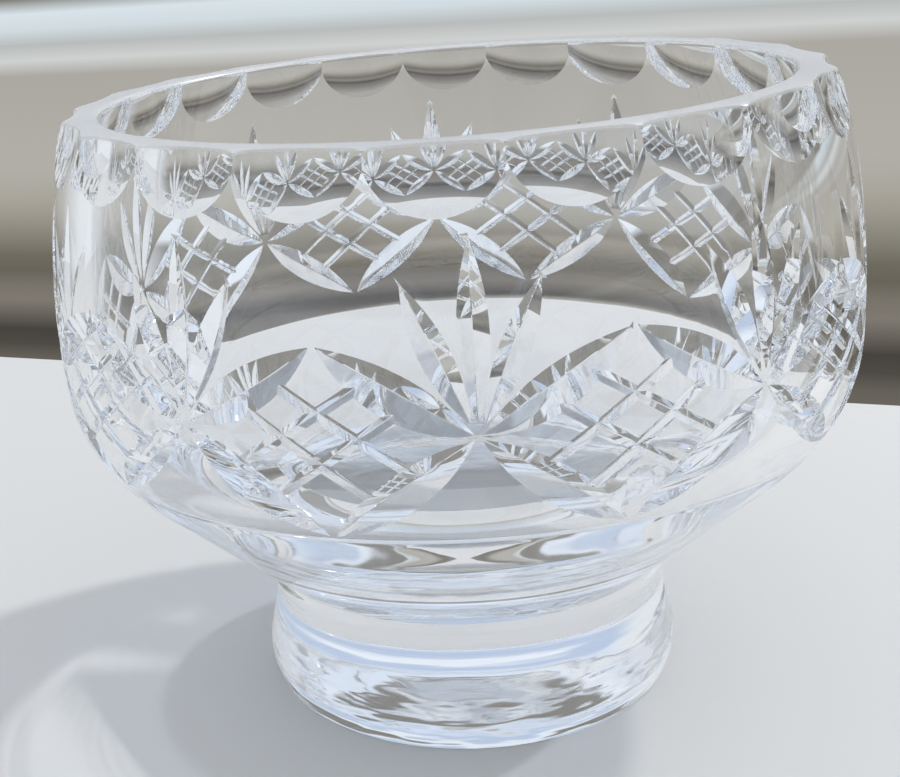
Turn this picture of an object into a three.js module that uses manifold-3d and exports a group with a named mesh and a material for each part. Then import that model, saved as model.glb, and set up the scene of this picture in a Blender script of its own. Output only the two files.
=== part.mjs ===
// A rose bowl of cut glass, in millimetres, with +Z up.
// The origin is at the middle of the flat that it stands on.
// The blown bowl carries three cut patterns: flutes round the rim, a belt of cross-hatched diamonds
// round the shoulder, and a fan of three leaves rising between every two diamonds.
// A solid foot is fused under it, face to face.

import * as THREE from 'three';
import { mergeVertices } from 'three/addons/utils/BufferGeometryUtils.js';
import Module from 'manifold-3d';

const wasm = await Module();
wasm.setup();

// The outside of the bowl
const height = 117.5;
const bellyRadius = 75.8;
const bellyHeight = 76;
const rimInset = 5.8;
const rimRadius = bellyRadius - rimInset;
const shoulderDrop = 5;
const shoulderHeight = bellyHeight - shoulderDrop;
const shoulderRadius = 28;
const footHeight = 27;
const footTopRadius = 42;

// Its walls
const wall = 7;
const floorThickness = 16.2;
const floorDish = 150;
const floorRounding = 3;
const rimRounding = 1;

// The foot. Its radii are told from the one at its top.
const waistInset = 2.2;
const waistHeight = 18;
const bulgeOutset = 0.1;
const bulgeHeight = 6;
const baseInset = 1.6;
const baseEdgeOut = 0.8;
const baseEdgeUp = 0.5;
const hollowRadius = 15;
const hollowDepth = 0.8;

// The flutes, cut by a stone wheel with a barrel-shaped edge
const fluteCount = 22;
const fluteDepth = 2.2;
const fluteLength = 10.4;
const fluteOverlap = 1.05;
const barrelSpare = 1.2;

// The belt of diamonds. Heights are measured along the glass from its widest ring, up as positive.
const diamondCount = 10;
const diamondTop = 14.3;
const diamondSide = 0;
const diamondFoot = -18;
const upperMitreDepth = 2.5;
const upperMitreAngle = 110;
const upperMitreSag = 0.7;
const lowerMitreDepth = 2.8;
const mitreAngle = 100;

// The cross-hatching inside each diamond
const hatchCount = 2;
const hatchStart = 0.35;
const hatchStep = 0.255;
const hatchDepth = 0.8;

// The fans, whose outer leaves lean to the side
const leafTop = 29.5;
const leafBottom = 1.5;
const sideLeafTop = 23.5;
const sideLeafReach = 10.5;
const leafDepth = 2;
const leafSpread = 0.08;

// A leaf-shaped groove starts and ends this share of its half length before its wheel is clear.
const leafOverrun = 0.04;

// How finely round faces are divided
const bowlSegments = 60;
const footSegments = 60;
const wheelSegments = 36;
const shoulderSegments = 5;
const sideSegments = 4;
const edgeSegments = 2;
const dishSegments = 4;
const footSideSegments = 8;
const hollowSegments = 3;
const mitreSegments = 5;
const leafSegments = 4;
const hatchSegments = 2;
const barrelSegments = 4;

// How far a cutter stands out of the glass, so that no cut ends on the surface
const cutterLift = 1.2;

const degrees = Math.PI / 180;
const onDiamond = 2 * Math.PI / diamondCount;

// Materials

function glass(color) {
  return new THREE.MeshStandardMaterial({
    color,
    roughness: 0.05,
    metalness: 0,
    transparent: true,
    opacity: 0.35,
  });
}

// Profiles are lists of points with x as the radius and y as the height.

function arc(centreX, centreY, radius, from, to, steps) {
  const points = [];
  for (let i = 0; i <= steps; i += 1) {
    const angle = from + (to - from) * i / steps;
    points.push(new THREE.Vector2(centreX + radius * Math.cos(angle), centreY + radius * Math.sin(angle)));
  }
  return points;
}

// The side from the belly to the rim is one arc, and the shoulder another that meets the flank.
const sideRise = height - bellyHeight;
const sideInset = bellyRadius - rimRadius;
const sideRadius = (sideRise ** 2 + sideInset ** 2) / (2 * sideInset);
const sideCentre = bellyRadius - sideRadius;
const sideAngle = Math.asin(sideRise / sideRadius);
const band = bellyHeight - shoulderHeight;
const shoulderCentre = bellyRadius - shoulderRadius;
const flankAngle = turnOfShoulder(shoulderRadius, footTopRadius, footHeight);

// The turn after which an arc round the shoulder's centre points straight at a lower point
function turnOfShoulder(radius, targetRadius, targetHeight) {
  const across = targetRadius - shoulderCentre;
  const down = shoulderHeight - targetHeight;
  return Math.atan2(down, across) - Math.acos(radius / Math.hypot(across, down));
}

function outsideProfile() {
  return [
    new THREE.Vector2(0, footHeight),
    new THREE.Vector2(footTopRadius, footHeight),
    ...arc(shoulderCentre, shoulderHeight, shoulderRadius, -flankAngle, 0, shoulderSegments),
    ...arc(sideCentre, bellyHeight, sideRadius, 0, sideAngle - rimRounding / sideRadius, sideSegments),
    ...rimEdge(rimRadius, 0),
  ];
}

function rimEdge(radius, from) {
  const inward = from === 0 ? -1 : 1;
  const centre = radius + inward * rimRounding;
  return arc(centre, height - rimRounding, rimRounding, from, from + Math.PI / 2, edgeSegments);
}

// The inside runs parallel to the outside as far as the corner round a dished floor.
function insideProfile() {
  const innerSide = sideRadius - wall;
  const innerShoulder = shoulderRadius - wall;
  const floorHeight = footHeight + floorThickness;
  const wallCentre = new THREE.Vector2(shoulderCentre, shoulderHeight);
  const dishCentre = new THREE.Vector2(0, floorHeight + floorDish);
  const { corner, wallTurn } = floorCorner(wallCentre, innerShoulder - floorRounding, dishCentre);
  const dishTurn = corner.clone().sub(dishCentre).angle() - 2 * Math.PI;
  return [
    ...rimEdge(rimRadius - wall, Math.PI / 2),
    ...arc(sideCentre, bellyHeight, innerSide, sideAngle - 2 * rimRounding / innerSide, 0, sideSegments),
    ...arc(shoulderCentre, shoulderHeight, innerShoulder, 0, wallTurn, edgeSegments),
    ...arc(corner.x, corner.y, floorRounding, wallTurn, dishTurn, edgeSegments).slice(1),
    ...arc(0, dishCentre.y, floorDish, dishTurn, -Math.PI / 2, dishSegments).slice(1, -1),
    new THREE.Vector2(0, floorHeight),
  ];
}

// The rounding between wall and floor touches the shoulder's arc, or the straight flank under it
// where the floor lies too low for the arc.
function floorCorner(wallCentre, wallReach, dishCentre) {
  const dishReach = floorDish - floorRounding;
  const flankStart = new THREE.Vector2(Math.cos(flankAngle), -Math.sin(flankAngle));
  flankStart.multiplyScalar(wallReach).add(wallCentre);
  if (flankStart.distanceTo(dishCentre) < dishReach) {
    const down = new THREE.Vector2(-Math.sin(flankAngle), -Math.cos(flankAngle));
    const ahead = dishCentre.clone().sub(flankStart).dot(down);
    const aside = dishReach ** 2 - flankStart.distanceToSquared(dishCentre);
    const corner = flankStart.addScaledVector(down, ahead + Math.sqrt(ahead ** 2 + aside));
    return { corner, wallTurn: -flankAngle };
  }
  const corner = arcCentre(wallCentre, wallReach, dishCentre, dishReach);
  return { corner, wallTurn: corner.clone().sub(wallCentre).angle() - 2 * Math.PI };
}

// The place at two given distances from two others, on the outer side of the line between them
function arcCentre(first, firstReach, second, secondReach) {
  const toSecond = second.clone().sub(first);
  const gap = toSecond.length();
  const along = (gap ** 2 + firstReach ** 2 - secondReach ** 2) / (2 * gap);
  const across = Math.sqrt(firstReach ** 2 - along ** 2);
  toSecond.divideScalar(gap);
  const side = new THREE.Vector2(toSecond.y, -toSecond.x);
  return first.clone().addScaledVector(toSecond, along).addScaledVector(side, across);
}

function footProfile() {
  const baseRadius = footTopRadius - baseInset;
  const side = new THREE.SplineCurve([
    new THREE.Vector2(baseRadius + baseEdgeOut, baseEdgeUp),
    new THREE.Vector2(footTopRadius + bulgeOutset, bulgeHeight),
    new THREE.Vector2(footTopRadius - waistInset, waistHeight),
    new THREE.Vector2(footTopRadius, footHeight),
  ]);
  const hollowCurve = (hollowRadius ** 2 + hollowDepth ** 2) / (2 * hollowDepth);
  const hollowEnd = Math.acos(hollowRadius / hollowCurve);
  const hollow = arc(0, hollowDepth - hollowCurve, hollowCurve, Math.PI / 2, hollowEnd, hollowSegments);
  return [
    new THREE.Vector2(0, hollowDepth),
    ...hollow.slice(1),
    new THREE.Vector2(baseRadius, 0),
    ...side.getPoints(footSideSegments),
    new THREE.Vector2(0, footHeight),
  ];
}

// Solids

function lathe(profile, segments) {
  const geometry = new THREE.LatheGeometry(profile, segments);
  geometry.rotateX(Math.PI / 2);
  return geometry;
}

function solid(geometry) {
  const bare = geometry.clone();
  bare.deleteAttribute('normal');
  bare.deleteAttribute('uv');
  const merged = mergeVertices(bare, 1e-4);
  const mesh = new wasm.Mesh({
    numProp: 3,
    vertProperties: new Float32Array(merged.attributes.position.array),
    triVerts: new Uint32Array(merged.index.array),
  });
  return new wasm.Manifold(mesh);
}

function geometryOf(body) {
  const mesh = body.getMesh();
  const geometry = new THREE.BufferGeometry();
  geometry.setAttribute('position', new THREE.BufferAttribute(new Float32Array(mesh.vertProperties), 3));
  geometry.setIndex(new THREE.BufferAttribute(new Uint32Array(mesh.triVerts), 1));
  geometry.computeVertexNormals();
  return geometry;
}

// A place on the outside of the bowl: a turn round the axis and a distance along the glass
// from the widest ring. It gives the point and the direction that faces out there.
function onGlass(turn, along) {
  let radius;
  let rise;
  let tilt;
  if (along >= 0) {
    tilt = along / sideRadius;
    radius = sideCentre + sideRadius * Math.cos(tilt);
    rise = bellyHeight + sideRadius * Math.sin(tilt);
  } else if (-along <= band) {
    tilt = 0;
    radius = bellyRadius;
    rise = bellyHeight + along;
  } else {
    const bent = (-along - band) / shoulderRadius;
    const straight = Math.max(0, bent - flankAngle) * shoulderRadius;
    tilt = -Math.min(bent, flankAngle);
    radius = shoulderCentre + shoulderRadius * Math.cos(tilt) - straight * Math.sin(flankAngle);
    rise = shoulderHeight + shoulderRadius * Math.sin(tilt) - straight * Math.cos(flankAngle);
  }
  const level = Math.cos(tilt);
  const out = new THREE.Vector3(level * Math.cos(turn), level * Math.sin(turn), Math.sin(tilt));
  const point = new THREE.Vector3(radius * Math.cos(turn), radius * Math.sin(turn), rise);
  return { point, out };
}

// A mitre is the groove that a wheel with a V edge leaves along a line between two places.
// Its depth follows depthAt, a function of the share of the way from start to end, and it hangs
// below the straight way between them by its sag.
function mitre(start, end, depthAt, count, edgeAngle = mitreAngle, sag = 0) {
  const spread = Math.tan(edgeAngle / 2 * degrees);
  const places = [];
  for (let i = 0; i <= count; i += 1) {
    const share = i / count;
    const turn = start.turn + (end.turn - start.turn) * share;
    const along = start.along + (end.along - start.along) * share - sag * 4 * share * (1 - share);
    places.push({ ...onGlass(turn, along), depth: depthAt(share) });
  }
  const vertices = [];
  places.forEach(({ point, out, depth }, i) => {
    const before = places[Math.max(i - 1, 0)].point;
    const after = places[Math.min(i + 1, count)].point;
    const across = new THREE.Vector3().subVectors(after, before).cross(out).normalize();
    const halfWidth = (depth + cutterLift) * spread;
    const bottom = point.clone().addScaledVector(out, -depth);
    const lip = point.clone().addScaledVector(out, cutterLift);
    const left = lip.clone().addScaledVector(across, -halfWidth);
    const right = lip.clone().addScaledVector(across, halfWidth);
    [bottom, left, right].forEach((corner) => vertices.push(corner.x, corner.y, corner.z));
  });
  const faces = [[0, 2, 1]];
  for (let i = 0; i < count; i += 1) {
    for (let side = 0; side < 3; side += 1) {
      const a = 3 * i + side;
      const b = 3 * i + (side + 1) % 3;
      faces.push([a, b, a + 3], [b, b + 3, a + 3]);
    }
  }
  faces.push([3 * count, 3 * count + 1, 3 * count + 2]);
  const geometry = new THREE.BufferGeometry();
  geometry.setAttribute('position', new THREE.BufferAttribute(new Float32Array(vertices), 3));
  geometry.setIndex(faces.flat());
  return solid(geometry);
}

// A leaf-shaped groove runs out at both ends, a hatching groove keeps its depth.
function leafShaped(depth) {
  return (share) => depth * (1 - ((1 + leafOverrun) * (2 * share - 1)) ** 2);
}

function between(start, end, share) {
  return {
    turn: start.turn + (end.turn - start.turn) * share,
    along: start.along + (end.along - start.along) * share,
  };
}

// One diamond's cuts: its right-hand and left-hand sides and the hatching along both.
function diamondCuts(turn) {
  const top = { turn, along: diamondTop };
  const right = { turn: turn + onDiamond / 2, along: diamondSide };
  const left = { turn: turn - onDiamond / 2, along: diamondSide };
  const foot = { turn, along: diamondFoot };
  const cuts = [];
  for (const side of [left, right]) {
    cuts.push(mitre(top, side, leafShaped(upperMitreDepth), mitreSegments, upperMitreAngle, upperMitreSag));
    cuts.push(mitre(side, foot, leafShaped(lowerMitreDepth), mitreSegments));
  }
  for (let i = 0; i < hatchCount; i += 1) {
    const share = hatchStart + hatchStep * i;
    for (const [near, far] of [[left, right], [right, left]]) {
      const from = between(top, near, share);
      const to = between(far, foot, share);
      cuts.push(mitre(from, to, () => hatchDepth, hatchSegments));
    }
  }
  return cuts;
}

// One fan's cuts: an upright leaf between two that lean away from it
function fanCuts(turn) {
  const reach = sideLeafReach / bellyRadius;
  return [-1, 0, 1].map((side) => {
    const from = { turn: turn + side * reach * leafSpread, along: diamondSide + leafBottom };
    const to = { turn: turn + side * reach, along: side === 0 ? leafTop : sideLeafTop };
    return mitre(from, to, leafShaped(leafDepth), leafSegments);
  });
}

// The stone for the flutes turns on a level axle, with its barrel edge sunk into the rim.
function fluteWheel() {
  const halfWidth = Math.PI * rimRadius / fluteCount * fluteOverlap;
  const wheelRadius = 1 / (2 * fluteDepth / fluteLength ** 2 - 1 / sideRadius);
  const barrelRadius = 1 / (2 * fluteDepth / halfWidth ** 2 - 1 / rimRadius);
  const barrelAngle = Math.asin(halfWidth * barrelSpare / barrelRadius);
  const barrel = arc(wheelRadius - barrelRadius, 0, barrelRadius, -barrelAngle, barrelAngle, barrelSegments);
  const profile = [
    new THREE.Vector2(0, barrel[0].y),
    ...barrel,
    new THREE.Vector2(0, barrel[barrel.length - 1].y),
  ];
  const geometry = new THREE.LatheGeometry(profile, wheelSegments);
  const axleRadius = rimRadius + (wheelRadius - fluteDepth) * Math.cos(sideAngle);
  const axleHeight = height + (wheelRadius - fluteDepth) * Math.sin(sideAngle);
  geometry.translate(axleRadius, 0, axleHeight);
  return geometry;
}

function cutBowl() {
  const profile = [...outsideProfile(), ...insideProfile()];
  let bowl = solid(lathe(profile, bowlSegments));
  const wheel = fluteWheel();
  for (let i = 0; i < fluteCount; i += 1) {
    const turned = wheel.clone().rotateZ(1.5 * onDiamond + i * 2 * Math.PI / fluteCount);
    bowl = bowl.subtract(solid(turned));
  }
  for (let i = 0; i < diamondCount; i += 1) {
    const cuts = [...diamondCuts(i * onDiamond), ...fanCuts((i + 0.5) * onDiamond)];
    for (const cut of cuts) {
      bowl = bowl.subtract(cut);
    }
  }
  const mesh = new THREE.Mesh(geometryOf(bowl), glass(0xe9eff2));
  mesh.name = 'cut_bowl';
  return mesh;
}

function solidFoot() {
  const mesh = new THREE.Mesh(lathe(footProfile(), footSegments), glass(0xe3ebf0));
  mesh.name = 'solid_foot';
  return mesh;
}

const roseBowl = new THREE.Group();
roseBowl.name = 'rose_bowl';
roseBowl.add(cutBowl(), solidFoot());

export default roseBowl;
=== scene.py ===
import math

import bmesh
import bpy
from mathutils import Matrix, Vector


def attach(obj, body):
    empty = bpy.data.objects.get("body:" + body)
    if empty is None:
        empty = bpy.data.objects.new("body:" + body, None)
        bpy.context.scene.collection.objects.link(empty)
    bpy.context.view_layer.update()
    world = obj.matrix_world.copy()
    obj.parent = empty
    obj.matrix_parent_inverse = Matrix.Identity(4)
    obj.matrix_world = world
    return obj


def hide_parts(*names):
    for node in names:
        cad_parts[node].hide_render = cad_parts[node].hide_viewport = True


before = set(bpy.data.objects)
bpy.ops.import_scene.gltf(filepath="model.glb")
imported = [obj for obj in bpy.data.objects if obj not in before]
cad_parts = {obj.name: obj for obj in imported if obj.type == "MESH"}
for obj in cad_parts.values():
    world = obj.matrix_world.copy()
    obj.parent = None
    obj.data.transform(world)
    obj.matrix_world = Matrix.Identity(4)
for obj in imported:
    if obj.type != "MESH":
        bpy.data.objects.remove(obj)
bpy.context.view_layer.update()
print("frame loaded")

# Sizes of the glass are in millimetres in the dictionaries, and meshes are made in metres.
mm = 0.001
fullTurn = 2 * math.pi


# Materials

def newMaterial(name):
    material = bpy.data.materials.new(name)
    material.use_nodes = True
    nodes = material.node_tree.nodes
    nodes.clear()
    return material, nodes, material.node_tree.links


def objectCoordinates(nodes):
    return nodes.new("ShaderNodeTexCoord").outputs["Object"]


# Noise on an object's own coordinates, flattened into level streaks by a stretch above 1
def noiseOn(nodes, links, scale, detail, distortion=0.0, stretch=1.0):
    flattened = nodes.new("ShaderNodeMapping")
    flattened.inputs["Scale"].default_value = (1.0, 1.0, stretch)
    links.new(objectCoordinates(nodes), flattened.inputs["Vector"])
    noise = nodes.new("ShaderNodeTexNoise")
    noise.inputs["Scale"].default_value = scale
    noise.inputs["Detail"].default_value = detail
    noise.inputs["Distortion"].default_value = distortion
    links.new(flattened.outputs["Vector"], noise.inputs["Vector"])
    return noise.outputs["Fac"]


def mapRange(nodes, links, value, fromLow, fromHigh, low, high):
    node = nodes.new("ShaderNodeMapRange")
    node.inputs["From Min"].default_value = fromLow
    node.inputs["From Max"].default_value = fromHigh
    node.inputs["To Min"].default_value = low
    node.inputs["To Max"].default_value = high
    links.new(value, node.inputs["Value"])
    return node.outputs["Result"]


def mathNode(nodes, links, operation, *values):
    node = nodes.new("ShaderNodeMath")
    node.operation = operation
    for socket, value in zip(node.inputs, values):
        if isinstance(value, (int, float)):
            socket.default_value = value
        else:
            links.new(value, socket)
    return node.outputs["Value"]


crystal = {
    "ior": 1.56,
    "tint": (0.994, 0.997, 1.0, 1.0),
    "smears": 60.0,            # per metre
    "smearDetail": 4.0,
    "smearTwist": 0.6,
    "smearRange": (0.45, 0.75),
    "polish": (0.0, 0.018),    # roughness, cleanest and most handled
    "waveDetail": 2.0,
}

# Blowing and polishing leave slow waves, which stay fainter above a height. Between two heights
# the glass turns from polished to ground, with a roughness and a share that stays clear.
# Heights and the depth of the waves are in metres, and waves are counted per metre.
bowlFinish = {
    "waves": 34.0,
    "waveDepth": 0.00004,
    "waveStretch": 1.0,
    "waveHeights": (0.0, 0.12),
    "waveFade": 1.0,
    "wornHeights": (0.1168, 0.1173),
    "wear": 0.34,
    "groundClear": 0.62,
}
footFinish = {
    "waves": 40.0,
    "waveDepth": 0.0006,
    "waveStretch": 6.0,
    "waveHeights": (0.009, 0.016),
    "waveFade": 0.12,
    "wornHeights": (0.0006, 0.0),
    "wear": 0.05,
    "groundClear": 1.0,
}


def crystalMaterial(name, finish):
    material, nodes, links = newMaterial(name)
    shader = nodes.new("ShaderNodeBsdfPrincipled")
    shader.inputs["Base Color"].default_value = crystal["tint"]
    shader.inputs["IOR"].default_value = crystal["ior"]
    smears = noiseOn(nodes, links, crystal["smears"], crystal["smearDetail"], crystal["smearTwist"])
    polish = mapRange(nodes, links, smears, *crystal["smearRange"], *crystal["polish"])
    parts = nodes.new("ShaderNodeSeparateXYZ")
    links.new(objectCoordinates(nodes), parts.inputs["Vector"])
    height = parts.outputs["Z"]
    wear = mapRange(nodes, links, height, *finish["wornHeights"], 0.0, finish["wear"])
    links.new(mathNode(nodes, links, "ADD", polish, wear), shader.inputs["Roughness"])
    clear = mapRange(nodes, links, height, *finish["wornHeights"], 1.0, finish["groundClear"])
    links.new(clear, shader.inputs["Transmission Weight"])
    bump = nodes.new("ShaderNodeBump")
    strength = mapRange(nodes, links, height, *finish["waveHeights"], 1.0, finish["waveFade"])
    links.new(strength, bump.inputs["Strength"])
    bump.inputs["Distance"].default_value = finish["waveDepth"]
    waves = noiseOn(nodes, links, finish["waves"], crystal["waveDetail"], stretch=finish["waveStretch"])
    links.new(waves, bump.inputs["Height"])
    links.new(bump.outputs["Normal"], shader.inputs["Normal"])
    output = nodes.new("ShaderNodeOutputMaterial")
    links.new(shader.outputs["BSDF"], output.inputs["Surface"])
    return material


# Where bowl and foot are fused there is no surface, so light passes straight on.
def fusedMaterial():
    material, nodes, links = newMaterial("fusedJoin")
    clear = nodes.new("ShaderNodeBsdfTransparent")
    output = nodes.new("ShaderNodeOutputMaterial")
    links.new(clear.outputs["BSDF"], output.inputs["Surface"])
    return material


bowlCrystal = crystalMaterial("bowlCrystal", bowlFinish)
footCrystal = crystalMaterial("footCrystal", footFinish)
fusedJoin = fusedMaterial()


# The bowl, turned from a profile and then cut. Profiles are lists of (radius, height).

bowl = {
    "height": 117.5,
    "rimRadius": 70.0,
    "bellyRadius": 75.8,
    "bellyHeight": 76.0,
    "shoulderHeight": 71.0,
    "shoulderRadius": 28.0,
    "footHeight": 27.0,
    "footTopRadius": 42.0,
    "wall": 7.0,
    "floorThickness": 16.2,
    "floorRadius": 150.0,      # the inside floor is a shallow dish
    "floorRounding": 3.0,      # where the dish meets the wall
    "rimRounding": 1.0,
    "segments": 300,
    "joinSteps": 3,            # steps along each stretch of the profile, from the foot up and down inside
    "flankSteps": 10,
    "shoulderSteps": 20,
    "bandSteps": 2,
    "sideSteps": 22,
    "rimRoundingSteps": 6,
    "rimSteps": 3,
    "innerSideSteps": 18,
    "floorRoundingSteps": 8,
    "dishSteps": 36,
}

sideRise = bowl["height"] - bowl["bellyHeight"]
sideInset = bowl["bellyRadius"] - bowl["rimRadius"]
sideRadius = (sideRise ** 2 + sideInset ** 2) / (2 * sideInset)
sideAngle = math.asin(sideRise / sideRadius)
band = bowl["bellyHeight"] - bowl["shoulderHeight"]
shoulderCentre = bowl["bellyRadius"] - bowl["shoulderRadius"]
flankAcross = bowl["footTopRadius"] - shoulderCentre
flankDown = bowl["shoulderHeight"] - bowl["footHeight"]
flankAngle = math.atan2(flankDown, flankAcross) - math.acos(
    bowl["shoulderRadius"] / math.hypot(flankAcross, flankDown))


def arc(centreRadius, centreHeight, radius, start, end, steps):
    points = []
    for i in range(steps + 1):
        angle = start + (end - start) * i / steps
        points.append((centreRadius + radius * math.cos(angle), centreHeight + radius * math.sin(angle)))
    return points


# The points of a straight stretch without its ends
def line(start, end, steps):
    return [(start[0] + (end[0] - start[0]) * i / steps, start[1] + (end[1] - start[1]) * i / steps)
            for i in range(1, steps)]


def rimEdge(radius, start):
    inward = -1 if start == 0 else 1
    rounding = bowl["rimRounding"]
    return arc(radius + inward * rounding, bowl["height"] - rounding, rounding,
               start, start + math.pi / 2, bowl["rimRoundingSteps"])


# The centre of an arc that lies inside two circles and touches both
def arcCentre(first, firstReach, second, secondReach):
    across = Vector(second) - Vector(first)
    gap = across.length
    along = (gap ** 2 + firstReach ** 2 - secondReach ** 2) / (2 * gap)
    aside = math.sqrt(firstReach ** 2 - along ** 2)
    unit = across / gap
    return Vector(first) + unit * along + Vector((unit.y, -unit.x)) * aside


def insideFloor(innerShoulder):
    rounding = bowl["floorRounding"]
    dish = bowl["floorRadius"]
    floorHeight = bowl["footHeight"] + bowl["floorThickness"]
    dishCentre = (0, floorHeight + dish)
    wallCentre = (shoulderCentre, bowl["shoulderHeight"])
    centre = arcCentre(wallCentre, innerShoulder - rounding, dishCentre, dish - rounding)
    wallTurn = math.atan2(centre.y - wallCentre[1], centre.x - wallCentre[0])
    dishTurn = math.atan2(centre.y - dishCentre[1], centre.x)
    return [
        *arc(*wallCentre, innerShoulder, 0, wallTurn, bowl["shoulderSteps"]),
        *arc(*centre, rounding, wallTurn, dishTurn, bowl["floorRoundingSteps"])[1:],
        *arc(*dishCentre, dish, dishTurn, -math.pi / 2, bowl["dishSteps"])[1:-1],
        (0, floorHeight),
    ]


def bowlProfile():
    wall = bowl["wall"]
    rounding = bowl["rimRounding"]
    top = bowl["height"]
    belly = (bowl["bellyRadius"], bowl["bellyHeight"])
    innerBelly = (bowl["bellyRadius"] - wall, bowl["bellyHeight"])
    innerBand = (bowl["bellyRadius"] - wall, bowl["shoulderHeight"])
    rimOut = (bowl["rimRadius"] - rounding, top)
    rimIn = (bowl["rimRadius"] - wall + rounding, top)
    innerSide = sideRadius - wall
    innerAngle = sideAngle - 2 * rounding / innerSide
    sideCentre = bowl["bellyRadius"] - sideRadius
    middle = (0, bowl["footHeight"])
    crease = (bowl["footTopRadius"], bowl["footHeight"])
    shoulder = arc(shoulderCentre, bowl["shoulderHeight"], bowl["shoulderRadius"],
                   -flankAngle, 0, bowl["shoulderSteps"])
    return [
        middle,
        *line(middle, crease, bowl["joinSteps"]),
        crease,
        *line(crease, shoulder[0], bowl["flankSteps"]),
        *shoulder,
        *line(shoulder[-1], belly, bowl["bandSteps"]),
        *arc(sideCentre, belly[1], sideRadius, 0, sideAngle - rounding / sideRadius, bowl["sideSteps"]),
        *rimEdge(bowl["rimRadius"], 0),
        *line(rimOut, rimIn, bowl["rimSteps"]),
        *rimEdge(bowl["rimRadius"] - wall, math.pi / 2),
        *arc(sideCentre, belly[1], innerSide, innerAngle, 0, bowl["innerSideSteps"]),
        *line(innerBelly, innerBand, bowl["bandSteps"]),
        *insideFloor(bowl["shoulderRadius"] - wall),
    ]


def meshObject(name, vertices, faces):
    mesh = bpy.data.meshes.new(name)
    mesh.from_pydata(vertices, [], faces)
    mesh.update()
    made = bpy.data.objects.new(name, mesh)
    bpy.context.scene.collection.objects.link(made)
    return made


# A profile turned round the axis, with one point where it meets the axis
def lathe(name, profile, segments):
    vertices = []
    rings = []
    for radius, height in profile:
        if radius == 0:
            rings.append([len(vertices)] * segments)
            vertices.append((0, 0, height * mm))
            continue
        rings.append([len(vertices) + j for j in range(segments)])
        for j in range(segments):
            turn = fullTurn * j / segments
            vertices.append((radius * mm * math.cos(turn), radius * mm * math.sin(turn), height * mm))
    faces = []
    for lower, upper in zip(rings, rings[1:]):
        for j in range(segments):
            k = (j + 1) % segments
            corners = [lower[j], lower[k], upper[k], upper[j]]
            faces.append(tuple(dict.fromkeys(corners)))
    return meshObject(name, vertices, faces)


# A place on the outside of the bowl and the way out of the glass there, for a turn round the axis
# and a distance along the glass, up from the widest ring
def onGlass(turn, along):
    if along >= 0:
        tilt = along / sideRadius
        radius = bowl["bellyRadius"] - sideRadius * (1 - math.cos(tilt))
        rise = bowl["bellyHeight"] + sideRadius * math.sin(tilt)
    elif -along <= band:
        tilt = 0
        radius = bowl["bellyRadius"]
        rise = bowl["bellyHeight"] + along
    else:
        reach = bowl["shoulderRadius"]
        bent = (-along - band) / reach
        straight = max(0, bent - flankAngle) * reach
        tilt = -min(bent, flankAngle)
        radius = shoulderCentre + reach * math.cos(tilt) - straight * math.sin(flankAngle)
        rise = bowl["shoulderHeight"] + reach * math.sin(tilt) - straight * math.cos(flankAngle)
    out = Vector((math.cos(tilt) * math.cos(turn), math.cos(tilt) * math.sin(turn), math.sin(tilt)))
    return Vector((radius * math.cos(turn), radius * math.sin(turn), rise)), out


cuts = {
    "fluteCount": 22,
    "fluteDepth": 2.2,
    "fluteLength": 10.4,
    "fluteOverlap": 1.05,
    "firstFlute": 1.5,         # in diamonds round from the first one
    "diamondCount": 10,
    "diamondTop": 14.3,        # distances along the glass from the widest ring
    "diamondSide": 0.0,
    "diamondFoot": -18.0,
    "upperMitreDepth": 2.5,
    "upperMitreAngle": 110.0,
    "upperMitreSag": 0.7,      # how far it hangs under the straight way between its ends
    "lowerMitreDepth": 2.8,
    "mitreAngle": 100.0,
    "hatchCount": 2,
    "hatchStart": 0.35,        # shares of a diamond's side
    "hatchStep": 0.255,
    "hatchDepth": 0.8,
    "leafTop": 29.5,
    "leafBottom": 1.5,
    "sideLeafTop": 23.5,
    "sideLeafReach": 10.5,
    "leafDepth": 2.0,
    "leafSpread": 0.08,        # how far apart the leaves start, as a share of how far apart they end
    "overrun": 0.04,           # how much longer a wheel's way is than its pointed cut
    "edgeWidth": 0.16,         # the stone's edge is worn this flat
    "lift": 1.2,               # how far a cutter stands out of the glass
    "mitreSteps": 24,
    "hatchSteps": 16,
    "wheelSegments": 180,
    "barrelSteps": 20,
    "barrelSpare": 1.2,        # how many times as wide as its cut the flute's wheel is
}
onDiamond = fullTurn / cuts["diamondCount"]


def between(start, end, share):
    return (start[0] + (end[0] - start[0]) * share, start[1] + (end[1] - start[1]) * share)


# The groove that a wheel with a V edge leaves along a line between two places (turn, along)
def mitre(name, start, end, depthAt, steps, edgeAngle=cuts["mitreAngle"], sag=0.0):
    spread = math.tan(math.radians(edgeAngle) / 2)
    worn = cuts["edgeWidth"] / 2
    places = []
    for i in range(steps + 1):
        share = i / steps
        turn, along = between(start, end, share)
        along -= sag * 4 * share * (1 - share)     # a parabola, lowest half-way
        places.append((*onGlass(turn, along), depthAt(share)))
    vertices = []
    for i, (point, out, depth) in enumerate(places):
        before = places[max(i - 1, 0)][0]
        after = places[min(i + 1, steps)][0]
        across = (after - before).cross(out).normalized()
        halfWidth = (depth + cuts["lift"]) * spread
        bottom = point - out * (depth - worn / spread)
        lip = point + out * cuts["lift"]
        vertices += [
            (bottom + across * worn) * mm,
            (bottom - across * worn) * mm,
            (lip - across * halfWidth) * mm,
            (lip + across * halfWidth) * mm,
        ]
    faces = [(0, 3, 2, 1)]
    for i in range(steps):
        for side in range(4):
            a = 4 * i + side
            b = 4 * i + (side + 1) % 4
            faces.append((a, b, b + 4, a + 4))
    faces.append((4 * steps, 4 * steps + 1, 4 * steps + 2, 4 * steps + 3))
    return meshObject(name, vertices, faces)


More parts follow.
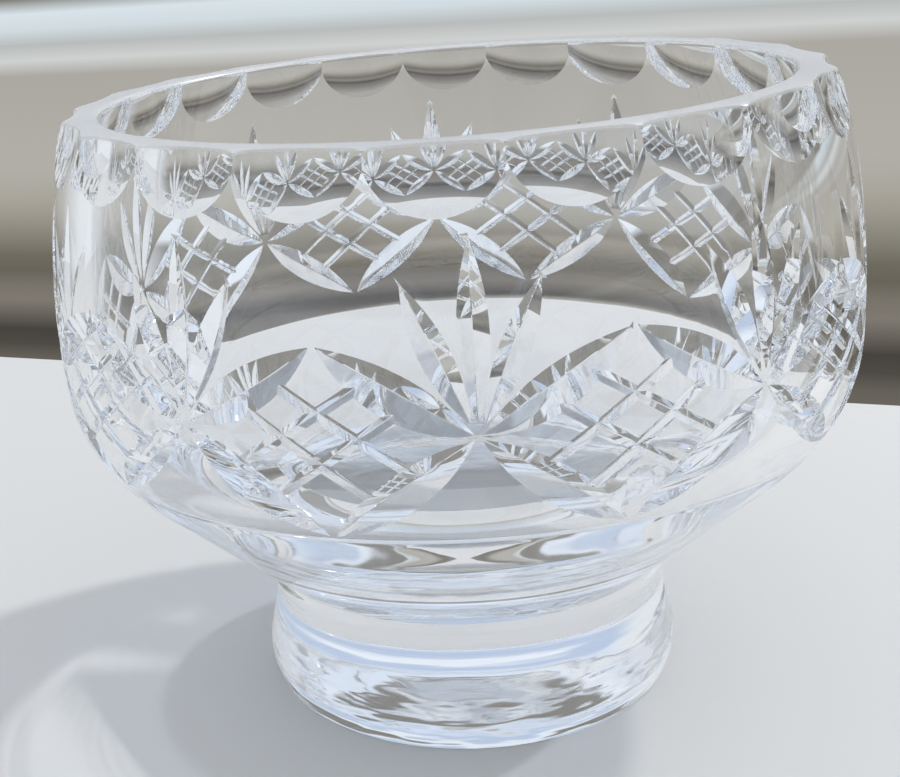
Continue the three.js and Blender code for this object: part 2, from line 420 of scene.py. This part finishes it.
# How deep a cut is at each share of its length: pointed at both ends, or the same all along
def leafShaped(depth):
    return lambda share: depth * (1 - ((1 + cuts["overrun"]) * (2 * share - 1)) ** 2)


def even(depth):
    return lambda share: depth


def diamondCutters():
    top = (0, cuts["diamondTop"])
    sides = [(-onDiamond / 2, cuts["diamondSide"]), (onDiamond / 2, cuts["diamondSide"])]
    bottom = (0, cuts["diamondFoot"])
    upperDepth = leafShaped(cuts["upperMitreDepth"])
    lowerDepth = leafShaped(cuts["lowerMitreDepth"])
    made = []
    for side in sides:
        made.append(mitre("upperMitre", top, side, upperDepth, cuts["mitreSteps"],
                          cuts["upperMitreAngle"], cuts["upperMitreSag"]))
        made.append(mitre("lowerMitre", side, bottom, lowerDepth, cuts["mitreSteps"]))
    for i in range(cuts["hatchCount"]):
        down = cuts["hatchStart"] + cuts["hatchStep"] * i
        for near, far in (sides, sides[::-1]):
            start = between(top, near, down)
            end = between(far, bottom, down)
            made.append(mitre("hatch", start, end, even(cuts["hatchDepth"]), cuts["hatchSteps"]))
    return made


def leafCutters():
    reach = cuts["sideLeafReach"] / bowl["bellyRadius"]
    foot = cuts["diamondSide"] + cuts["leafBottom"]
    made = []
    for side in (-1, 0, 1):
        start = (onDiamond / 2 + side * reach * cuts["leafSpread"], foot)
        end = (onDiamond / 2 + side * reach, cuts["leafTop"] if side == 0 else cuts["sideLeafTop"])
        made.append(mitre("leaf", start, end, leafShaped(cuts["leafDepth"]), cuts["mitreSteps"]))
    return made


# A wheel with a barrel-shaped edge, set where it cuts one flute into the rim
def fluteCutter():
    halfWidth = math.pi * bowl["rimRadius"] / cuts["fluteCount"] * cuts["fluteOverlap"]
    depth = cuts["fluteDepth"]
    wheelRadius = 1 / (2 * depth / cuts["fluteLength"] ** 2 - 1 / sideRadius)
    barrelRadius = 1 / (2 * depth / halfWidth ** 2 - 1 / bowl["rimRadius"])
    barrelAngle = math.asin(halfWidth * cuts["barrelSpare"] / barrelRadius)
    barrel = arc(wheelRadius - barrelRadius, 0, barrelRadius, -barrelAngle, barrelAngle, cuts["barrelSteps"])
    profile = [(0, barrel[0][1]), *barrel, (0, barrel[-1][1])]
    wheel = lathe("fluteWheel", profile, cuts["wheelSegments"])
    out = bowl["rimRadius"] + (wheelRadius - depth) * math.cos(sideAngle)
    up = bowl["height"] + (wheelRadius - depth) * math.sin(sideAngle)
    level = Matrix.Rotation(-math.pi / 2, 4, "X")
    wheel.data.transform(Matrix.Translation((out * mm, 0, up * mm)) @ level)
    return wheel


# A node tree that cuts the same groove all round the axis
def cutRoundTree():
    tree = bpy.data.node_groups.new("cutRound", "GeometryNodeTree")
    sockets = tree.interface
    sockets.new_socket("Geometry", in_out="INPUT", socket_type="NodeSocketGeometry")
    sockets.new_socket("Cutter", in_out="INPUT", socket_type="NodeSocketObject")
    sockets.new_socket("Count", in_out="INPUT", socket_type="NodeSocketInt")
    sockets.new_socket("First turn", in_out="INPUT", socket_type="NodeSocketFloat")
    sockets.new_socket("Material", in_out="INPUT", socket_type="NodeSocketMaterial")
    sockets.new_socket("Geometry", in_out="OUTPUT", socket_type="NodeSocketGeometry")
    nodes = tree.nodes
    links = tree.links
    given = nodes.new("NodeGroupInput").outputs
    points = nodes.new("GeometryNodePoints")
    links.new(given["Count"], points.inputs["Count"])
    cutter = nodes.new("GeometryNodeObjectInfo")
    links.new(given["Cutter"], cutter.inputs["Object"])
    index = nodes.new("GeometryNodeInputIndex").outputs["Index"]
    step = mathNode(nodes, links, "DIVIDE", fullTurn, given["Count"])
    turn = mathNode(nodes, links, "MULTIPLY_ADD", index, step, given["First turn"])
    rotation = nodes.new("ShaderNodeCombineXYZ")
    links.new(turn, rotation.inputs["Z"])
    grooves = nodes.new("GeometryNodeInstanceOnPoints")
    links.new(points.outputs["Points"], grooves.inputs["Points"])
    links.new(cutter.outputs["Geometry"], grooves.inputs["Instance"])
    links.new(rotation.outputs["Vector"], grooves.inputs["Rotation"])
    cut = nodes.new("GeometryNodeMeshBoolean")
    cut.operation = "DIFFERENCE"
    cut.solver = "MANIFOLD"
    links.new(given["Geometry"], cut.inputs["Mesh 1"])
    links.new(grooves.outputs["Instances"], cut.inputs["Mesh 2"])
    real = nodes.new("GeometryNodeRealizeInstances")
    links.new(cut.outputs["Mesh"], real.inputs["Geometry"])
    glass = nodes.new("GeometryNodeSetMaterial")
    links.new(real.outputs["Geometry"], glass.inputs["Geometry"])
    links.new(given["Material"], glass.inputs["Material"])
    output = nodes.new("NodeGroupOutput")
    links.new(glass.outputs["Geometry"], output.inputs["Geometry"])
    return tree


def setInputs(modifier, values):
    for item in modifier.node_group.interface.items_tree:
        if item.in_out == "INPUT" and item.name in values:
            modifier[item.identifier] = values[item.name]


def makeBowl():
    blank = lathe("bowlBlank", bowlProfile(), bowl["segments"])
    tree = cutRoundTree()
    cutters = [(fluteCutter(), cuts["fluteCount"], cuts["firstFlute"] * onDiamond)]
    cutters += [(cutter, cuts["diamondCount"], 0.0) for cutter in diamondCutters() + leafCutters()]
    for cutter, count, turn in cutters:
        modifier = blank.modifiers.new(cutter.name, "NODES")
        modifier.node_group = tree
        setInputs(modifier, {"Cutter": cutter, "Count": count, "First turn": turn, "Material": bowlCrystal})
    evaluated = blank.evaluated_get(bpy.context.evaluated_depsgraph_get())
    mesh = bpy.data.meshes.new_from_object(evaluated)
    mesh.name = "cutBowl"
    piece = bpy.data.objects.new("cutBowl", mesh)
    bpy.context.scene.collection.objects.link(piece)
    for helper in [blank, *(cutter for cutter, count, turn in cutters)]:
        bpy.data.objects.remove(helper)
    return piece


smoothing = {
    "mergeWithin": 0.000002,       # metres
    "levelWithin": 0.000001,       # metres
    "sharpAngle": 20.0,            # degrees
    "leastFacing": 0.9,            # how squarely the fused face looks up or down
}


# Smooth within each cut and sharp between them, with the fused face on its own material
def finishGlass(piece, polished, joinHeight, facing):
    mesh = piece.data
    work = bmesh.new()
    work.from_mesh(mesh)
    bmesh.ops.remove_doubles(work, verts=work.verts, dist=smoothing["mergeWithin"])
    bmesh.ops.dissolve_degenerate(work, edges=work.edges, dist=smoothing["mergeWithin"])
    work.to_mesh(mesh)
    work.free()
    mesh.materials.clear()
    mesh.materials.append(polished)
    mesh.materials.append(fusedJoin)
    mesh.shade_smooth()
    mesh.set_sharp_from_angle(angle=math.radians(smoothing["sharpAngle"]))
    for face in mesh.polygons:
        level = abs(face.center.z - joinHeight * mm) < smoothing["levelWithin"]
        fused = level and face.normal.z * facing > smoothing["leastFacing"]
        face.material_index = 1 if fused else 0
    piece.cycles.is_caustics_caster = True       # light gathers in the shadow behind it


cutBowl = makeBowl()
finishGlass(cutBowl, bowlCrystal, bowl["footHeight"], -1)
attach(cutBowl, "root")
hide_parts("cut_bowl")
print("bowl cut", len(cutBowl.data.polygons), "faces")


# The foot, a solid disc with a waist and a shallow hollow ground under it

foot = {
    "waistInset": 2.2,         # radii are told from the one at the foot's top
    "waistHeight": 18.0,
    "bulgeOutset": 0.1,
    "bulgeHeight": 6.0,
    "baseInset": 1.6,
    "baseEdgeOut": 0.8,
    "baseEdgeUp": 0.5,
    "hollowRadius": 15.0,
    "hollowDepth": 0.8,
    "segments": 240,
    "hollowSteps": 10,
    "ringSteps": 4,
    "sideSteps": 45,
    "topSteps": 3,
}


# One coordinate of a smooth curve between the second and third of four points
def curveBetween(a, b, c, d, t):
    straight = (c - a) * t
    bend = (2 * a - 5 * b + 4 * c - d) * t ** 2
    twist = (3 * b - a - 3 * c + d) * t ** 3
    return 0.5 * (2 * b + straight + bend + twist)


# A smooth curve through every point, as a thin spline takes it
def splineThrough(points, steps):
    made = []
    for i in range(steps + 1):
        along = i / steps * (len(points) - 1)
        k = min(int(along), len(points) - 2)
        first, second = points[k], points[k + 1]
        before = points[k - 1] if k > 0 else first
        after = points[k + 2] if k + 2 < len(points) else second
        made.append(tuple(curveBetween(*four, along - k) for four in zip(before, first, second, after)))
    return made


def footProfile():
    top = bowl["footHeight"]
    topRadius = bowl["footTopRadius"]
    baseRadius = topRadius - foot["baseInset"]
    side = splineThrough([
        (baseRadius + foot["baseEdgeOut"], foot["baseEdgeUp"]),
        (topRadius + foot["bulgeOutset"], foot["bulgeHeight"]),
        (topRadius - foot["waistInset"], foot["waistHeight"]),
        (topRadius, top),
    ], foot["sideSteps"])
    curve = (foot["hollowRadius"] ** 2 + foot["hollowDepth"] ** 2) / (2 * foot["hollowDepth"])
    turn = math.asin(foot["hollowRadius"] / curve)
    quarter = math.pi / 2
    hollow = arc(0, foot["hollowDepth"] - curve, curve, quarter, quarter - turn, foot["hollowSteps"])
    hollow[0] = (0, foot["hollowDepth"])
    base = (baseRadius, 0)
    return [
        *hollow,
        *line(hollow[-1], base, foot["ringSteps"]),
        base,
        *side,
        *line(side[-1], (0, top), foot["topSteps"]),
        (0, top),
    ]


solidFoot = lathe("solidFoot", footProfile(), foot["segments"])
finishGlass(solidFoot, footCrystal, bowl["footHeight"], 1)
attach(solidFoot, "root")
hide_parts("solid_foot")
print("foot turned", len(solidFoot.data.polygons), "faces")


# The studio: a pale table, the surroundings that the glass mirrors, and one sun. Sizes are in metres.

studio = {
    "table": (0.78, 0.795, 0.81, 1.0),
    "tableRoughness": 0.6,
    "tableBack": 0.159,
    "tableFront": 1.2,
    "tableHalf": 1.2,
    "tableTurn": -20.8,        # degrees
    "tableThickness": 0.02,
    "tableGap": 0.0002,
    "wallTurn": -18.8,         # the background's bands run level along a wall turned like this
    "background": [            # elevation in degrees at the wall's middle and colour, from below the table up
        (-90.0, (0.34, 0.33, 0.30)),
        (-27.0, (0.34, 0.33, 0.30)),
        (-21.0, (0.15, 0.14, 0.12)),
        (-19.8, (0.14, 0.13, 0.11)),
        (-18.5, (0.04, 0.035, 0.03)),
        (-16.7, (0.23, 0.21, 0.18)),
        (-15.2, (0.12, 0.11, 0.085)),
        (-12.2, (0.39, 0.37, 0.32)),
        (-10.8, (0.44, 0.43, 0.39)),
        (-5.9, (0.41, 0.39, 0.36)),
        (-5.7, (0.62, 0.64, 0.63)),
        (-5.2, (0.62, 0.64, 0.63)),
        (-4.8, (0.42, 0.44, 0.44)),
        (-4.4, (0.62, 0.69, 0.73)),
        (-3.4, (0.70, 0.78, 0.83)),
        (-2.9, (0.20, 0.187, 0.163)),
        (10.6, (0.20, 0.187, 0.163)),
        (12.8, (0.82, 0.89, 0.98)),
        (19.0, (0.82, 0.89, 0.98)),
        (26.0, (0.50, 0.60, 0.77)),
        (38.0, (0.48, 0.59, 0.78)),
        (48.0, (0.70, 0.79, 0.93)),
        (90.0, (0.72, 0.81, 0.94)),
    ],
    "window": (0.78, 0.82, 0.86, 1.0),
    "windowFrom": (-30.0, -45.0),      # degrees round from straight back, where it fades in
    "windowTo": (-120.0, -150.0),
    "sky": (0.96, 0.965, 0.97, 1.0),   # what lights the table
    "skyStrength": 0.68,
}


def backgroundBands(nodes, links, elevation):
    ramp = nodes.new("ShaderNodeValToRGB")
    links.new(mapRange(nodes, links, elevation, -math.pi / 2, math.pi / 2, 0.0, 1.0), ramp.inputs["Fac"])
    stops = ramp.color_ramp.elements
    for i, (degrees, colour) in enumerate(studio["background"]):
        position = (degrees + 90) / 180
        stop = stops[i] if i < 2 else stops.new(position)      # a new ramp has two stops
        stop.position = position
        stop.color = (*colour, 1.0)
    return ramp.outputs["Color"]


# The bands by height above a turned wall, with the window's light over them on one side
def surroundings(nodes, links):
    direction = nodes.new("ShaderNodeTexCoord").outputs["Generated"]
    parts = nodes.new("ShaderNodeSeparateXYZ")
    links.new(direction, parts.inputs["Vector"])
    turn = math.radians(studio["wallTurn"])
    toWall = nodes.new("ShaderNodeVectorMath")
    toWall.operation = "DOT_PRODUCT"
    toWall.inputs[1].default_value = (-math.sin(turn), math.cos(turn), 0)
    links.new(direction, toWall.inputs[0])
    reach = mathNode(nodes, links, "ABSOLUTE", toWall.outputs["Value"])
    elevation = mathNode(nodes, links, "ARCTAN2", parts.outputs["Z"], reach)
    azimuth = mathNode(nodes, links, "ARCTAN2", parts.outputs["X"], parts.outputs["Y"])
    start = [math.radians(degrees) for degrees in studio["windowFrom"]]
    end = [math.radians(degrees) for degrees in studio["windowTo"]]
    opening = mapRange(nodes, links, azimuth, *start, 0.0, 1.0)
    closing = mapRange(nodes, links, azimuth, *end, 1.0, 0.0)
    layers = nodes.new("ShaderNodeMixRGB")
    links.new(mathNode(nodes, links, "MULTIPLY", opening, closing), layers.inputs["Fac"])
    links.new(backgroundBands(nodes, links, elevation), layers.inputs["Color1"])
    layers.inputs["Color2"].default_value = studio["window"]
    return layers.outputs["Color"]


# The camera and the glass see the surroundings, and a plain sky lights the rest
def buildWorld():
    world = bpy.data.worlds.new("studioSky")
    bpy.context.scene.world = world
    world.use_nodes = True
    nodes = world.node_tree.nodes
    links = world.node_tree.links
    nodes.clear()
    seen = nodes.new("ShaderNodeBackground")
    links.new(surroundings(nodes, links), seen.inputs["Color"])
    lighting = nodes.new("ShaderNodeBackground")
    lighting.inputs["Color"].default_value = studio["sky"]
    lighting.inputs["Strength"].default_value = studio["skyStrength"]
    rays = nodes.new("ShaderNodeLightPath").outputs
    isSeen = mathNode(nodes, links, "ADD", rays["Is Camera Ray"], rays["Is Glossy Ray"])
    isSeen = mathNode(nodes, links, "ADD", isSeen, rays["Is Transmission Ray"])
    mix = nodes.new("ShaderNodeMixShader")
    links.new(isSeen, mix.inputs["Fac"])
    links.new(lighting.outputs["Background"], mix.inputs[1])
    links.new(seen.outputs["Background"], mix.inputs[2])
    output = nodes.new("ShaderNodeOutputWorld")
    links.new(mix.outputs["Shader"], output.inputs["Surface"])


def tableMaterial():
    material, nodes, links = newMaterial("paleTable")
    shader = nodes.new("ShaderNodeBsdfPrincipled")
    shader.inputs["Base Color"].default_value = studio["table"]
    shader.inputs["Roughness"].default_value = studio["tableRoughness"]
    output = nodes.new("ShaderNodeOutputMaterial")
    links.new(shader.outputs["BSDF"], output.inputs["Surface"])
    return material


def buildTable():
    half, thickness, gap = studio["tableHalf"], studio["tableThickness"], studio["tableGap"]
    front, back = -studio["tableFront"], studio["tableBack"]
    corners = [(-half, front), (half, front), (half, back), (-half, back)]
    vertices = [(x, y, z) for z in (-gap, -gap - thickness) for x, y in corners]
    faces = [(0, 1, 2, 3), (7, 6, 5, 4)] + [(i, i + 4, (i + 1) % 4 + 4, (i + 1) % 4) for i in range(4)]
    table = meshObject("table", vertices, faces)
    table.data.materials.append(tableMaterial())
    table.rotation_euler.z = math.radians(studio["tableTurn"])
    table.cycles.is_caustics_receiver = True


sun = {
    "place": (1.466, 0.931, 1.86),
    "aim": (0, 0, 0.06),
    "size": 0.16,
    "power": 26.0,             # watts
    "colour": (1.0, 0.985, 0.955),
}


def buildSun():
    data = bpy.data.lights.new("keyLamp", "AREA")
    data.shape = "DISK"
    data.size = sun["size"]
    data.energy = sun["power"]
    data.color = sun["colour"]
    data.cycles.is_caustics_light = True
    lamp = bpy.data.objects.new("keyLamp", data)
    lamp.location = sun["place"]
    lamp.rotation_mode = "QUATERNION"
    lamp.rotation_quaternion = (Vector(sun["place"]) - Vector(sun["aim"])).to_track_quat("Z", "Y")
    bpy.context.scene.collection.objects.link(lamp)


buildWorld()
buildTable()
buildSun()
print("studio ready")


viewpoint = {
    "turn": -92.093,           # degrees round the axis
    "distance": 0.2617,        # metres from the axis
    "height": 0.1495,
    "heading": -3.111,         # degrees
    "pitch": 19.144,
    "roll": -4.932,
    "lens": 55.27,             # millimetres, on a sensor as wide as a film frame
    "sensorWidth": 36.0,
    "shiftX": 0.1247,
    "clipStart": 0.01,
    "bounces": 32,             # light passes many walls of glass
}


def placeCamera():
    data = bpy.data.cameras.new("viewpoint")
    data.sensor_width = viewpoint["sensorWidth"]
    data.lens = viewpoint["lens"]
    data.shift_x = viewpoint["shiftX"]
    data.clip_start = viewpoint["clipStart"]
    camera = bpy.data.objects.new("viewpoint", data)
    bpy.context.scene.collection.objects.link(camera)
    turn = math.radians(viewpoint["turn"])
    heading, pitch, roll = (math.radians(viewpoint[key]) for key in ("heading", "pitch", "roll"))
    level = math.cos(pitch)
    ahead = Vector((math.sin(heading) * level, math.cos(heading) * level, -math.sin(pitch)))
    right = Vector((math.cos(heading), -math.sin(heading), 0))
    up = right.cross(ahead)
    leanRight = right * math.cos(roll) + up * math.sin(roll)
    leanUp = up * math.cos(roll) - right * math.sin(roll)
    placed = Matrix((leanRight, leanUp, -ahead)).transposed().to_4x4()
    distance = viewpoint["distance"]
    placed.translation = (distance * math.cos(turn), distance * math.sin(turn), viewpoint["height"])
    camera.matrix_world = placed
    bpy.context.scene.camera = camera


placeCamera()
bpy.context.scene.view_settings.view_transform = "Standard"
bpy.context.scene.cycles.max_bounces = viewpoint["bounces"]
bpy.context.scene.cycles.transmission_bounces = viewpoint["bounces"]
bpy.context.scene.cycles.glossy_bounces = viewpoint["bounces"]
